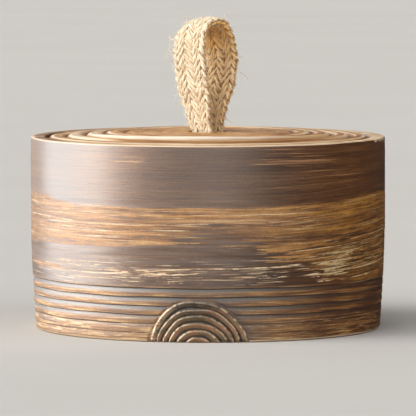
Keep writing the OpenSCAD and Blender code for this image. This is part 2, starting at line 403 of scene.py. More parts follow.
def pot_glaze():
    """Brushed slip in wood colours: dark, tan and dark bands over carved, worn ridges."""
    look = Look("pot_glaze")
    wood = look.vector("wood")
    over_tan, over_low, ragged = look.levels("over_tan over_low ragged")
    tan_score, low_score = look.levels("tan_score low_score")
    rust, dash, dusk, warm, bleached, stained = look.levels("rust dash dusk warm bleached stained")
    carved, slip, deep, margin, knot, crest, shine = look.levels("carved slip deep margin knot crest shine")
    worn, rim, rim_pale = look.levels("worn rim rim_pale")
    level = look.node("ShaderNodeSeparateXYZ", "Z", {"Vector": wood})

    wide = streaks(wood, 2.2, 55, 1)
    mid = streaks(wood, 0.95, 30, 2)
    thin = streaks(wood, 0.46, 16, 3, rough=0.6)
    hair = streaks(wood, 0.30, 45, 4, detail=2)
    bold = streaks(wood, 0.62, 26, 5, detail=4, rough=0.65)
    line = streaks(wood, 0.40, 30, 6, detail=2)
    breaks = streaks(wood, 1.1, 8, 9, detail=5, rough=0.65)
    blotch = streaks(wood, 1.8, 5, 10, detail=5, rough=0.65)
    brush = streaks(wood, 0.50, 7, 12, rough=0.7)
    thread = streaks(wood, 0.34, 24, 13, rough=0.6)

    # Tan band: fine lines, dark scratches and pale ones, which are combed out on the right
    low_right = dusk * level.smooth(39.0, 32.0)
    high_right = dusk * level.smooth(30.0, 37.0)
    tone = wide * 0.35 + mid * 0.4 + blotch * 0.25
    tan = tone.ramp((0.38, 124, 80, 35), (0.47, 156, 106, 48), (0.54, 178, 126, 61), (0.63, 196, 149, 83))
    fine = hair.ramp((0.36, 206, 196, 186), (0.56, *WHITE))
    brushed = brush.ramp((0.34, 178, 166, 154), (0.52, *WHITE))
    tan = tan.tint((236, 224, 156), dusk).tint(fine, 0.8).tint(brushed, 0.8)
    tan = tan.mix((208, 170, 124), bleached * mid.smooth(0.36, 0.54)).tint((176, 170, 166), stained)
    scratch = sprinkle(thin, dash.range(0.44, 0.74)) | sprinkle(bold, low_right.range(0.44, 0.56))
    scratch = scratch | scored(tan_score + 1.5, blotch.smooth(0.42, 0.52))
    scratch_colour = look.mix(low_right, (78, 48, 26), (60, 37, 20))
    tan = tan.mix(scratch_colour, scratch * low_right.range(0.76, 0.92))
    pale_line = sprinkle(line, dash.range(0.4, 0.7)) * breaks.smooth(0.38, 0.50)
    pale_band = sprinkle(bold, dash - 0.3) * breaks.smooth(0.45, 0.52)
    pale_thread = sprinkle(thread, dash - 0.20) * dusk * blotch.smooth(0.42, 0.52)
    combed = dusk * thin.smooth(0.49, 0.56)
    pale_line = (pale_line | pale_band | pale_thread) * combed.range(1.0, 0.1)
    pale_line = pale_line | scored(tan_score, breaks.smooth(0.40, 0.56) * 0.7)
    pale_colour = look.mix(dusk, (222, 196, 156), (208, 182, 132))
    tan = tan.mix(pale_colour, pale_line * high_right.range(1.0, 0.25) * 0.85)

    # Dark bands, with rust showing through in places
    dark = wide.ramp((0.32, 88, 57, 30), (0.50, 97, 64, 33), (0.70, 108, 74, 41))
    dark_lines = hair.ramp((0.32, 186, 178, 172), (0.58, *WHITE))
    # The dark glaze is lighter or darker where it lies unevenly, and painted lighter on the far left edge
    dark = dark.tint(dark_lines, 0.8).tint(brushed, 0.6).tint(warm).tint((1.12, 0.9, 0.5, 1.0), dusk)
    rusty = mid.ramp((0.40, 140, 90, 50), (0.62, 200, 152, 104)).tint((222, 216, 186), dusk)
    patch = sprinkle(blotch, rust - dusk.range(0.1, 0.45), 0.3)
    rusted = sprinkle(line, rust, 0.12) | patch * 0.8
    dark = dark.mix(rusty, rusted * 0.8)

    # Pale broken lines in the lower dark band
    pale = thin.ramp((0.38, 176, 126, 76), (0.56, 226, 202, 166))
    below = over_low.smooth(0.0, -1.5)
    dashes = sprinkle(line, dash) * breaks.smooth(0.42, 0.50)
    dashes = dashes | sprinkle(thread, dash - 0.06) * blotch.smooth(0.46, 0.54)
    dashes = dashes | sprinkle(bold, dash - 0.46) * breaks.smooth(0.46, 0.52)
    dashes = (dashes | scored(low_score, breaks.smooth(0.38, 0.46))) * below
    dark = dark.mix(pale, dashes)

    # Ragged edges of the tan band
    top_edge = over_tan + (thin - 0.5) * 3.0
    low_edge = over_low + (mid - 0.5) * ragged
    in_tan = top_edge.smooth(0.45, -0.45) * low_edge.smooth(-0.35, 0.35)
    colour = dark.mix(tan, in_tan)

    # Carved foot: ochre lands, grey slopes above them and a painted shadow as a soft dark line under each,
    # rubbed lower down
    grain = streaks(wood, 0.55, 14, 7, detail=4, rough=0.6)
    rub = streaks(wood, 0.6, 8, 11, detail=5, rough=0.65)
    low_down = level.smooth(12.0, 5.0)
    land = grain.ramp((0.32, 90, 56, 24), (0.43, 122, 80, 36), (0.52, 144, 101, 50), (0.60, 170, 129, 76),
                      (0.70, 208, 178, 132))
    brown = (grain * 0.5 + thin * 0.5).ramp((0.42, 74, 43, 19), (0.50, 98, 60, 25), (0.58, 152, 108, 50))
    pooled = wide.ramp((0.35, 74, 66, 60), (0.65, 100, 93, 87))
    pooled = pooled.mix(thin.ramp((0.45, 64, 41, 23), (0.65, 98, 66, 35)), dusk)
    patchy = (slip + (thin * 0.8 + mid * 0.8 - 0.8)).smooth(0.10, 0.90)
    foot = land.mix(brown, dusk).mix(pooled, patchy)
    rubbed = sprinkle(rub, low_down.range(0.12, 0.62), 0.14)
    cracks = sprinkle(thin, low_down.range(0.1, 0.5), 0.12) * 0.6
    foot = foot.mix((204, 176, 130), rubbed * dusk.range(0.75, 0.45)).mix((92, 58, 30), cracks)
    # Painted shadow: the soft dark line under each land, fainter where rubbed and on the right
    line_share = deep * (low_down * rubbed).range(0.8, 0.2) * dusk.range(1.0, 0.5)
    foot = foot.mix((60, 43, 31), line_share).tint(warm).tint((0.97, 0.85, 0.62, 1.0), dusk)
    # A dark cleared border on the knot's right, and painted shade over the lands round it
    foot = foot.mix((70, 52, 41), margin * 0.8)
    colour = colour.mix(foot, carved)

    # Knot: olive-brown ridges with pale worn edges, and painted shade that darkens the cuts between them
    ridge = streaks(wood, 3.2, 4.5, 8).ramp((0.38, 62, 49, 34), (0.52, 80, 64, 46), (0.66, 118, 82, 52))
    ridge_cloud = wood.spread((0.16, 0.16, 0.34), (4, 9, 2)).noise()
    ridge_low = ridge_cloud.ramp((0.36, 104, 86, 50), (0.50, 146, 112, 72), (0.62, 168, 114, 80))
    ridge = ridge.mix(ridge_low, level.smooth(12.0, 6.0) * 0.65).mix((34, 25, 18), crest.smooth(0.78, 0.12))
    broken = wood.noise(0.7).smooth(0.40, 0.54)
    ridge = ridge.mix((216, 192, 156), shine * broken)
    colour = colour.mix(ridge, knot)

    # Grit of the stoneware, which breaks up all the brushed marks
    grit = wood.spread((1.1, 1.1, 1.7), (5, 2, 9)).noise(detail=4, rough=0.7)
    colour = colour.tint(grit.range(0.45, 1.55))

    # Tan rim, and worn edges that show the pale clay
    rim_cloud = wood.noise(0.22)
    rim_colour = rim_cloud.ramp((0.36, 98, 62, 32), (0.64, 140, 100, 60))
    rim_colour = rim_colour.mix(rim_cloud.ramp((0.36, 168, 132, 92), (0.64, 214, 186, 148)), rim_pale)
    scuffed = worn + (thin - 0.5) * 0.9
    colour = colour.mix(rim_colour, rim).mix((212, 183, 150), scuffed.smooth(0.35, 0.75))

    # Glossy dark slip, with less gloss on the tan, the carving and the bared clay, and none on the rim
    bared = (rusted | dashes) * 0.85
    gloss = look.mix(in_tan, brush.range(0.40, 0.56), mid.range(0.48, 0.66)).mix(0.66, bared)
    gloss = gloss.mix(look.mix(patchy, 0.70, 0.50), carved).mix(0.64, dusk * carved)
    gloss = gloss.mix(0.56, knot).mix(0.9, rim)
    matte = in_tan | carved | rim | bared
    coat = look.mix(below, 0.6, 0.45).mix(0.22, matte).mix(0.0, rim)
    normal = look.bump(mid, 0.25, in_tan.range(0.10, 0.6), look.bump(brush, 0.10, 0.6))
    return look.made(Base_Color=colour, Roughness=gloss, Normal=normal, Specular_IOR_Level=0.9,
                     Coat_Weight=coat, Coat_Roughness=0.34)


def lid_glaze():
    """Tan rings, streaked round the lid like a log's, with painted shade in the grooves, pale sides that are
    partly worn and partly painted highlight, and a painted highlight on the raised ring's front.
    """
    look = Look("lid_glaze")
    ring = look.vector("ring")
    lip, pit, pale, dusk = look.levels("lip pit pale dusk")
    band = ring.spread((0.75, 0.22, 0.22)).noise(detail=4)
    thin = ring.spread((2.6, 0.45, 0.45), (3, 5, 7)).noise(rough=0.65)
    cloud = ring.spread((0.12, 0.30, 0.30), (8, 1, 4)).noise(detail=2)
    tone = band * 0.6 + cloud * 0.4
    colour = tone.ramp((0.34, 140, 92, 46), (0.46, 178, 128, 74), (0.56, 202, 156, 100),
                       (0.70, 228, 194, 146))
    lines = thin.ramp((0.34, 168, 124, 86), (0.48, *WHITE))
    # The pale lips are partly worn and partly painted highlight, and the pits are painted shade
    glint = lip + (tone - 0.5) * 1.1
    colour = colour.tint(lines, 0.6).mix((234, 216, 188), glint.smooth(0.2, 0.9))
    # The pale mark is a painted highlight on the raised ring's front and on two rings at the left
    colour = colour.mix((78, 46, 22), pit * 0.9).mix((227, 215, 200), pale).tint((222, 201, 174), dusk)
    return look.made(Base_Color=colour, Roughness=band.range(0.52, 0.68), Specular_IOR_Level=0.4,
                     Normal=look.bump(thin, 0.12, 0.5))


def inside_glaze():
    """Warm brown liner glaze with faint throwing rings."""
    look = Look("inside_glaze")
    rings = look.place().spread((12, 12, 420)).noise()
    cloud = look.place().noise(55, 4)
    tone = rings * 0.5 + cloud * 0.5
    colour = tone.ramp((0.32, 96, 66, 46), (0.50, 126, 92, 66), (0.70, 152, 118, 88))
    return look.made(Base_Color=colour, Roughness=cloud.range(0.22, 0.4), Specular_IOR_Level=0.6,
                     Normal=look.bump(rings, 0.15, 0.5))


def bare_clay():
    """Unglazed stoneware of the foot, the ledge and the lid's underside."""
    look = Look("bare_clay")
    cloud = look.place().noise(90, 5)
    grit = look.place().noise(1500, 3, 0.7)
    colour = cloud.ramp((0.35, 150, 112, 82), (0.55, 176, 138, 104), (0.72, 196, 162, 128))
    colour = colour.tint(grit.ramp((0.30, 120, 92, 70), (0.42, *WHITE)), 0.6)
    return look.made(Base_Color=colour, Roughness=cloud.range(0.72, 0.88), Normal=look.bump(grit, 0.12, 0.6))


def jute(name, pale, mid, deep):
    """Twisted jute: fibres along each yarn, with painted shade that leaves it paler on top and brown between
    the yarns and inside the loop.
    """
    look = Look(name)
    yarn = look.vector("yarn")
    height, inner = look.levels("height inner")
    fibre = yarn.spread((0.25, 1.3, 1.3)).noise(detail=4, rough=0.6)
    tuft = yarn.spread((0.35, 0.5, 0.5), (11, 3, 5)).noise(detail=2)
    tone = height * 0.5 + fibre * 0.6
    # Painted shade: the lower a yarn lies, the nearer its colour to the deep one
    colour = tone.ramp((0.26, *deep), (0.50, *mid), (0.80, *pale))
    shade = tuft.ramp((0.30, 222, 208, 186), (0.55, *WHITE))
    # Painted shade on the strap's inner face, strongest inside the loop's crown
    colour = colour.tint(shade, 0.6).tint((1.12, 0.86, 0.44, 1.0), inner)
    # Painted shade, darker still, on the lower yarns of the inner face
    hidden_shade = inner.smooth(0.0, 0.4) * height.smooth(0.75, 0.30) * inner.smooth(1.15, 0.5)
    colour = colour.mix((138, 88, 42), hidden_shade * 0.72)
    return look.made(Base_Color=colour, Roughness=fibre.range(0.75, 0.95), Specular_IOR_Level=0.25,
                     Normal=look.bump(fibre, 0.22, 0.8), Sheen_Weight=0.25, Sheen_Roughness=0.5)


def silicone():
    """Soft, slightly cloudy food-grade silicone."""
    look = Look("silicone")
    cloud = look.place().noise(140)
    dust = look.place().noise(2600, 2)
    colour = cloud.ramp((0.35, 214, 210, 200), (0.65, 232, 229, 221))
    return look.made(Base_Color=colour, Roughness=dust.range(0.38, 0.55), Normal=look.bump(dust, 0.02, 0.3),
                     Subsurface_Weight=0.2, Subsurface_Scale=0.002)


def pale_floor():
    """Plain pale studio floor."""
    look = Look("pale_floor")
    colour = look.place().noise(6, 4).ramp((0.3, 197, 195, 191), (0.7, 200, 198, 194))
    return look.made(Base_Color=colour, Roughness=0.95, Specular_IOR_Level=0.1)


# Pot

def wall_r(z):
    """Outer radius of the pot's wall at a height."""
    z = np.asarray(z, float)
    low = BODY_R - BASE_INSET * (1 - z / BELLY_H) ** 2
    high = BODY_R - RIM_INSET * ((z - BELLY_H) / (RIM_H - BELLY_H)) ** 2
    return np.where(z < BELLY_H, low, high)


def pot_angles():
    """Angles round the pot, close together across the carved knot."""
    half = math.radians(19)
    fine, coarse = math.radians(0.24), math.radians(1.5)
    return np.array(spaced(-half, half, fine) + spaced(half, math.tau - half, coarse))


def wall_heights():
    """Row heights up the outer wall, with rows on every edge of the grooves."""
    phases = [0.0, 0.07, GROOVE_LIP, 0.5, 0.7, 0.9, 1.1, 1.3, 1.55, GROOVE_W, 2.05, 2.25, 2.45, 2.65, 2.85]
    heights = []
    for i in range(GROOVE_COUNT):
        high = GROOVE_LOW + i * GROOVE_PITCH
        heights += [high - p for p in phases if high - p > FOOT_ROUND + 0.1]
    heights += spaced(GROOVE_TOP + 0.1, BELLY_H + 3, 0.6)
    heights += spaced(BELLY_H + 3, RIM_H - RIM_ROUND, 1.2)
    return sorted(heights)


def dusk_side(degrees):
    """1 on the right side, where the glaze stayed dark and the grooves shallow, and 0 elsewhere."""
    return span(degrees, 16, 48, 120, 170)


def groove_wander(angle, z):
    """How far the grooves stray up or down, each in its own way, as cut by hand."""
    place = np.clip((z - GROOVE_LOW) / GROOVE_PITCH, 0, GROOVE_COUNT - 1.001)
    strays = np.stack([wave(angle[0], 40 + i, (1, 2, 3, 5, 8, 13), 0.2) for i in range(GROOVE_COUNT)])
    below = place.astype(int)
    column = np.arange(angle.shape[1])[None, :]
    share = place - below
    return strays[below, column] * (1 - share) + strays[below + 1, column] * share


def groove_cut(z, angle, dusk):
    """Depth of the turned grooves, and where slip, shade and worn edges lie in them."""
    count = np.ceil((z - GROOVE_LOW) / GROOVE_PITCH - 1e-6)
    inside = (count >= 0) & (count < GROOVE_COUNT)
    which = np.clip(count, 0, GROOVE_COUNT - 1).astype(int)
    below = GROOVE_LOW + count * GROOVE_PITCH - z
    steep = smooth(0, GROOVE_LIP, below)
    slope = 1 - np.clip((below - GROOVE_LIP) / (GROOVE_W - GROOVE_LIP), 0, 1) ** 0.8
    fade = 0.85 + wave(angle, 21, (2, 3, 5, 7), 0.14) + 0.1 * np.sin(count * 2.1 + angle * 2)
    fade = fade * GROOVE_FADE[which] * (1 - 0.72 * dusk)
    cut = GROOVE_DEPTH * steep * slope * fade * inside
    slip = GROOVE_SLIP[which] * (1 - smooth(0.35 * GROOVE_W, 1.3 * GROOVE_W, below))
    slip = slip * (inside & (below > 0.05))
    # Painted shadow just under each land, where its edge overhangs the groove
    deep = span(below, 0.02, 0.12, GROOVE_LIP, GROOVE_LIP + 0.3) * inside
    edge = smooth(GROOVE_PITCH - 0.35, GROOVE_PITCH, below) * (inside | (count == GROOVE_COUNT))
    return cut, slip, deep, edge


def knot_cut(across, z):
    """Depth of the knot's cuts, height of its ridges, its worn edges, extent, outline, and a dark border on
    its right together with painted shade round the knot.
    """
    turn = np.arctan2(across, z + KNOT_SINK)
    flatter = 1 + 0.17 * (1 - smooth(8, 15.5, np.hypot(across, z + KNOT_SINK)))
    plain = np.hypot(across / flatter, z + KNOT_SINK)
    shift = (0.24 * np.sin(3 * turn + 0.6) + 0.16 * np.sin(7 * turn + 2.0)) * plain / KNOT_R
    band = np.floor((KNOT_R - plain - shift) / KNOT_PITCH)
    unsteady = 0.2 * np.sin(3 * turn + 2.4 * band) + 0.1 * np.sin(8 * turn + 1.7 * band)
    rho = plain + shift + unsteady * plain / KNOT_R
    phase = (KNOT_R - rho) / KNOT_PITCH
    within = phase % 1
    # A ridge rises steeply at its outer edge, is broad on top and falls away to a narrow cut inside it
    ridge = span(within, 0, 0.2, 0.74, 0.97) * (1 - 0.45 * smooth(0.25, 0.8, within)) * (phase >= 0)
    ridge = np.where(rho < KNOT_EYE_R, np.maximum(ridge, 0.85), ridge)
    inside = 1 - smooth(KNOT_R + KNOT_MARGIN - 0.2, KNOT_R + KNOT_MARGIN + 0.3, rho)
    outline = 1 - smooth(KNOT_R - 0.15, KNOT_R + 0.2, rho)
    left, right = smooth(0.1, 0.85, -np.sin(turn)), smooth(0.25, 0.85, np.sin(turn))
    worn = bell(within, 0.17, 0.10 + 0.03 * left) * (0.2 + 0.75 * left + 0.8 * right)
    worn = (worn + 0.25 * left * (phase < 0.7)) * (phase >= 0)
    trench = np.where(rho > KNOT_R - 0.3, 0.35, 1)
    margin = smooth(KNOT_R + 4.5, KNOT_R + 1.0, rho) * smooth(1, 7, across)
    # Painted shade over the lands round the knot, except at its left
    painted_shade_round_knot = 0.55 * smooth(KNOT_R + 11, KNOT_R + 2, rho) * smooth(-15, -6, across)
    margin = np.maximum(margin, painted_shade_round_knot) * (phase < 0)
    return KNOT_DEPTH * trench * (1 - ridge) * inside, ridge, np.clip(worn, 0, 1), inside, outline, margin


def grain_height(degrees, z):
    """Height of the grain line through a point, which climbs a little on the right."""
    climb = 3.0 * span(degrees, 20, 85, 130, 200)
    return z - climb * span(z, 16, 24, 46, 58)


def tan_top(degrees):
    """Height where the tan band begins, a little higher and softer at the far left."""
    return TAN_TOP + 2.2 * span(degrees, -180, -120, -62, -42)


def tan_bottom(angle, degrees):
    """Height where the tan band ends, low on the right, where it runs down to the grooves."""
    level = TAN_BOTTOM + 1.5 * np.cos(angle) + 4.4 * bell(degrees, 4, 13)
    return level + (TAN_BOTTOM_RIGHT - level) * span(degrees, 16, 57, 140, 185)


def spots(degrees, z, *patches):
    """Soft round patches on the wall, each as (strength, degrees, height, width, thickness)."""
    return sum(strength * bell(degrees, at, wide) * bell(z, height, high)
               for strength, at, height, wide, high in patches)


def glaze_tone_and_edge_light_at(degrees, z):
    """How light the glaze of the dark bands and the foot is: it lies unevenly, mostly in the upper band, and
    painted light brightens the far left edge.
    """
    # The bell at -78 degrees is painted light on the far left edge; the others are the glaze's own
    # unevenness
    change = 0.55 * bell(degrees, -28, 11) + 1.1 * bell(degrees, -78, 10) - 0.3 * bell(degrees, -52, 8)
    foot = 0.2 * span(degrees, -120, -90, -40, -24) - 0.16 * bell(degrees, 2, 18)
    above = smooth(18.2, 18.8, z)
    low = 0.30 * bell(degrees, 20, 17) * smooth(34, 30, z)
    return 1 + foot * (1 - above) + (change * (0.45 + 0.55 * smooth(36, 48, z)) - low) * above


def rust_places(degrees, z):
    """Where rust shows through the upper dark band: a patch at the left, and streaks on the right."""
    right = span(degrees, 8, 40, 95, 130) * smooth(46, 50, z)
    high = 0.12 * smooth(54, 62, z)
    patches = spots(degrees, z, (1, -23, 60, 8, 2.2), (0.6, -33, 49, 6, 1.5), (1.7, -64, 23.5, 18, 1.2),
                    (0.6, 28, 59.6, 18, 0.4))
    behind = spots(degrees, z, (0.8, -130, 57, 16, 2.5), (0.8, 155, 51, 14, 2))
    return np.clip(0.1 + 0.34 * right * (1 + high) + 0.65 * patches + 0.6 * behind, 0, 1)


def dash_places(degrees, z):
    """How many pale dashes the brush left at a place."""
    low = 0.34 * bell(z, 22.8, 4.2)
    left = spots(degrees, z, (0.16, -22, 22.5, 14, 4.5))
    bare = spots(degrees, z, (0.6, 35, 21, 6, 4))
    right = spots(degrees, z, (0.3, 47, 21.6, 8, 2.8), (0.50, 54, 28.6, 24, 5.0))
    return np.clip((0.28 + low + left) * (1 - bare) + right, 0, 1)


def score_distance(angle, z, height, low, high):
    """How far a point lies above a long line scored by the brush, between two angles. Far away elsewhere."""
    degrees = np.degrees(angle)
    line = height + wave(angle, 61, (3, 5, 9), 0.15)
    return np.where((degrees > low) & (degrees < high), z - line, 9)


def rim_chips(degrees):
    """Small chips along the rim's outer edge, most of them at the right."""
    draw = random.Random(53)
    places = [draw.uniform(60, 88) for _ in range(9)] + [draw.uniform(-175, 175) for _ in range(7)]
    chips = np.zeros_like(degrees)
    for place in places:
        chips = np.maximum(chips, draw.uniform(0.5, 1) * bell(degrees, place, draw.uniform(0.7, 1.6)))
    return chips


def pot_profile():
    """Section of the pot as (r, z, zone), from under the foot round to the middle of the floor."""
    rows = []

    def add(zone, *places):
        rows.extend((r, z, zone) for r, z in places)

    foot_in = BODY_R - BASE_INSET - FOOT_RING_W
    add("bare", *((r, FOOT_HOLLOW) for r in spaced(6, foot_in - FOOT_HOLLOW, 6)))
    add("bare", (foot_in - FOOT_HOLLOW, FOOT_HOLLOW), (foot_in - 0.3, 0.15), (foot_in + 0.4, 0))
    start_r = wall_r(FOOT_ROUND) - FOOT_ROUND
    add("bare", *arc(start_r, FOOT_ROUND, FOOT_ROUND, -90, -66, 2))
    add("wall", *arc(start_r, FOOT_ROUND, FOOT_ROUND, -54, 0, 4))
    add("wall", *((wall_r(z), z) for z in wall_heights()))
    top = RIM_H - RIM_ROUND
    add("rim", *arc(wall_r(top) - RIM_ROUND, top, RIM_ROUND, 0, 90, 8))
    add("rim", *((RECESS_R + f * (WALL - RIM_ROUND), RIM_H) for f in (0.8, 0.6, 0.4)))
    add("rim", *arc(RECESS_R + RIM_LIP, RIM_H - RIM_LIP, RIM_LIP, 90, 180, 5))
    add("bare", (RECESS_R, LEDGE_Z + 2.5), (RECESS_R, LEDGE_Z + 0.1), (RECESS_R - 0.1, LEDGE_Z))
    add("bare", (NECK_R + 0.3, LEDGE_Z), (NECK_R, LEDGE_Z - 0.3))
    neck_low = LEDGE_Z - NECK_H
    add("inside", (NECK_R, LEDGE_Z - 4), (NECK_R, neck_low + 0.2))
    cavity_top = neck_low - (wall_r(neck_low) - WALL - NECK_R)
    add("inside", *((wall_r(z) - WALL, z) for z in spaced(cavity_top, FLOOR_Z + FLOOR_ROUND, 2)))
    corner = wall_r(FLOOR_Z + FLOOR_ROUND) - WALL - FLOOR_ROUND
    add("inside", *arc(corner, FLOOR_Z + FLOOR_ROUND, FLOOR_ROUND, 0, -90, 8))
    add("inside", *((r, FLOOR_Z) for r in spaced(corner, 3, 5)[1:]))
    return rows


def make_pot():
    """The pot: a turned form with hand-cut grooves, a carved knot and a brushed surface."""
    rows = pot_profile()
    angle = pot_angles()[None, :]
    r, z = columns(rows, 2, angle)
    angle = angle + 0 * r
    signed = (angle + math.pi) % math.tau - math.pi
    degrees = np.degrees(signed)
    dusk = dusk_side(degrees)
    on_wall = in_zone(rows, "wall")
    outside = in_zone(rows, "wall", "rim")

    # Grooves wander a little up and down, as cut by hand on the wheel
    nominal = z.copy()
    z = z + groove_wander(angle, nominal) * span(z, 1.5, 5, 24, 32) * on_wall

    cut, slip, deep, edge = groove_cut(nominal, angle, dusk)
    across = signed * wall_r(np.clip(z, 0, RIM_H))
    knot_depth, crest, shine, knot, outline, margin = knot_cut(across, z)
    front = np.abs(signed) < 0.5
    knot = knot * front
    plain = 1 - knot
    carve = (cut * plain + knot_depth * (knot > 0)) * on_wall

    grain_z = grain_height(degrees, z)
    wood = turned(r, angle, grain_z)
    relief = 0.11 * field(wood / (16, 16, 1.1)) * span(z, 17, 20, 45, 48)
    lumps = 0.12 * field(turned(r, angle, z) / (22, 22, 14)) * smooth(0, 3, z)
    r = r - carve + (relief + lumps) * outside
    chips = rim_chips(degrees)
    nicked = chips * smooth(RIM_H - 0.9, RIM_H - 0.2, z) * smooth(BODY_R - 3, BODY_R - 1, r)
    r = r - 0.35 * nicked * outside

    rim_r = wall_r(RIM_H)
    rim_edge = smooth(RIM_H - 0.48, RIM_H - 0.25, z) * smooth(rim_r - 1.3, rim_r - 0.7, r)
    rim_edge = rim_edge * (1 - 0.75 * span(degrees, 36, 60, 140, 175))
    rim_edge = rim_edge + 1.2 * chips * smooth(RIM_H - 1.1, RIM_H - 0.5, z)
    foot_edge = (1 - smooth(0.4, 1.6, z)) * 0.6
    attributes = {
        "wood": wood,
        "over_tan": grain_z - tan_top(degrees),
        "over_low": grain_z - tan_bottom(signed, degrees),
        "carved": (1 - smooth(GROOVE_TOP - 0.02, GROOVE_TOP + 0.25, nominal)) * on_wall,
        "slip": slip * plain * on_wall,
        "deep": deep * plain * on_wall,
        "knot": outline * front * on_wall,
        "margin": margin * front * on_wall,
        "crest": crest,
        "shine": shine,
        "rim": smooth(RIM_H - 0.3, RIM_H - 0.08, z) * outside,
        "rim_pale": 1 - span(degrees, -178, -140, -60, -44),
        "rust": rust_places(degrees, z),
        "dash": dash_places(degrees, z),
        "dusk": dusk,
        "warm": glaze_tone_and_edge_light_at(degrees, z),
        "bleached": spots(degrees, grain_z, (0.8, 10, 39.6, 15, 1.1)),
        "stained": spots(degrees, grain_z, (1, 9, 34.6, 15, 3.2)),
        "tan_score": score_distance(signed, z, 39.1 + 0.6 * np.sin(4 * signed), -78, 6),
        "low_score": score_distance(signed, z, 22.3 + 2.2 * smooth(-34, 4, degrees), -62, 13),
        "ragged": 1.5 + 22 * bell(degrees, 6, 14) + 20 * span(degrees, 12, 30, 175, 180),
        "worn": np.clip((rim_edge + foot_edge * plain) * outside + 0.55 * edge * on_wall * plain, 0, 1),
    }
    faces = ring_faces(*r.shape)
    count = r.shape[1]
    zone_material = {"wall": 0, "rim": 0, "inside": 1, "bare": 2}
    face_material = np.repeat([zone_material[row[-1]] for row in rows[1:]], count).tolist()

    # Middles of the foot's hollow and of the floor
    middles = [(0, 0, FOOT_HOLLOW), (0, 0, FLOOR_Z)]
    points = np.concatenate([turned(r, angle, z).reshape(-1, 3), middles])
    under, floor = r.size, r.size + 1
    last = r.size - count
    for i in range(count):
        j = (i + 1) % count
        faces += [(under, j, i), (floor, last + i, last + j)]
        face_material += [zone_material["bare"], zone_material["inside"]]
    materials = [pot_glaze(), inside_glaze(), bare_clay()]
    return mesh_piece("carved_pot", points, faces, materials, face_material, attributes)


# Lid

def dome(r):
    """Height of the lid's ringed slope at a radius."""
    return RIM_H + DOME_RISE * (1 - (r / LID_R) ** 2)


def lid_profile():
    """Section of the lid as (r, z, lip, pit, zone), where the lip is a pale edge, partly worn and partly
    painted highlight, and the pit is painted shade: its underside, skirt, edge, rings, eye and hole.
    """
    rows = []

    def bare(*places):
        rows.extend((r, z, 0, 0, "bare") for r, z in places)

    def top(r, z, lip=0, pit=0):
        rows.append((r, z, lip, pit, "top"))

    bare(*((r, LID_UNDER) for r in (HOLE_R + 0.5, 14, 23, 32, 40, SKIRT_IN - 1)))
    bare((SKIRT_IN, LID_UNDER - 1), (SKIRT_IN, SKIRT_LOW + 0.6))
    bare((SKIRT_IN + 0.6, SKIRT_LOW), (SKIRT_R - 0.6, SKIRT_LOW))
    seat_r = SKIRT_R - SEAL_SEAT
    low, high = SEAL_Z - SEAL_H / 2, SEAL_Z + SEAL_H / 2
    bare((SKIRT_R, SKIRT_LOW + 0.6), (SKIRT_R, low - 0.15), (SKIRT_R - 0.15, low))
    bare((seat_r, low), (seat_r, low + 0.05), (seat_r, high - 0.05))
    bare((seat_r, high), (SKIRT_R - 0.15, high), (SKIRT_R, high + 0.15))
    bare((SKIRT_R, LEDGE_Z - 0.05), (SKIRT_R + 0.05, LEDGE_Z), (LID_R - 0.5, LEDGE_Z))
    # Worn outer edge, as (way in, way down, lip, pit): the lip is a pale edge, partly worn and partly
    # painted highlight, and the pit is painted shade down the side facing the gap
    edge = ((0.0, 5.0, 0, 1), (0.0, 2.5, 0, 1), (0.05, 1.4, 0, 1), (0.35, 0.85, 0, 1), (0.7, 0.42, 0.1, 0.6),
            (1.1, 0.14, 0.6, 0.0), (1.5, 0.03, 0.9, 0.0), (2.0, 0.0, 0.6, 0.0))
    for way_in, down, lip, pit in edge:
        top(LID_R - way_in, dome(LID_R - way_in) - down, lip, pit)

    # A groove's outer side, floor and inner side, as (way out from its middle, rise, lip, pit): the lip is
    # partly worn and partly painted highlight, and the pit is painted shade
    groove = ((2.3, 1.0, 0.1, 0.0), (1.9, 0.95, 0.5, 0.0), (1.4, 0.70, 0.5, 0.0), (0.9, 0.36, 0.25, 0.2),
              (0.5, 0.10, 0.0, 0.85), (0.15, 0.0, 0.0, 1.0), (-0.2, 0.08, 0.0, 0.9), (-0.5, 0.32, 0.2, 0.4),
              (-0.9, 0.66, 0.7, 0.0), (-1.3, 0.90, 0.9, 0.0), (-1.7, 1.0, 0.7, 0.0), (-2.4, 1.0, 0.1, 0.0))
    first, last = groove[0][0], groove[-1][0]
    start = LID_R - edge[-1][0]
    for middle, relief in zip(RING_GROOVES, RING_RELIEF):
        for share in (0.25, 0.55, 0.85):
            r = start + (middle + first - start) * share
            top(r, dome(r) + 0.12 * math.sin(math.pi * share))
        floor = dome(middle) - relief
        for out, rise, lip, pit in groove:
            r = middle + out
            in_eye = middle == RING_GROOVES[-1] and out < 0
            height = LID_TOP if in_eye else dome(r)
            top(r, floor + (height - floor) * rise, lip * (0.25 if in_eye else 1), pit)
        start = middle + last

    # A faint line in the eye, as (way out from its middle, depth, lip, pit): the lip is partly worn and
    # partly painted highlight, and the pit is painted shade
    line = ((2.5, 0.0, 0.0, 0.0), (0.5, 0.0, 0.3, 0.0), (0.2, 0.8, 0.0, 0.4), (-0.2, 0.8, 0.0, 0.4),
            (-0.6, 0.0, 0.4, 0.0), (-1.4, 0.0, 0.0, 0.0))
    for middle in EYE_LINES:
        for out, depth, lip, pit in line:
            top(middle + out, LID_TOP - 0.15 * depth, lip, pit)
    top(HOLE_R + 4.5, LID_TOP)
    top(HOLE_R + 2.0, LID_TOP)
    for r, z in arc(HOLE_R + EDGE_ROUND, LID_TOP - EDGE_ROUND, EDGE_ROUND, 90, 180, 4):
        top(r, z)
    bare((HOLE_R, LID_UNDER + 2.5), (HOLE_R, LID_UNDER + 0.5))
    return rows


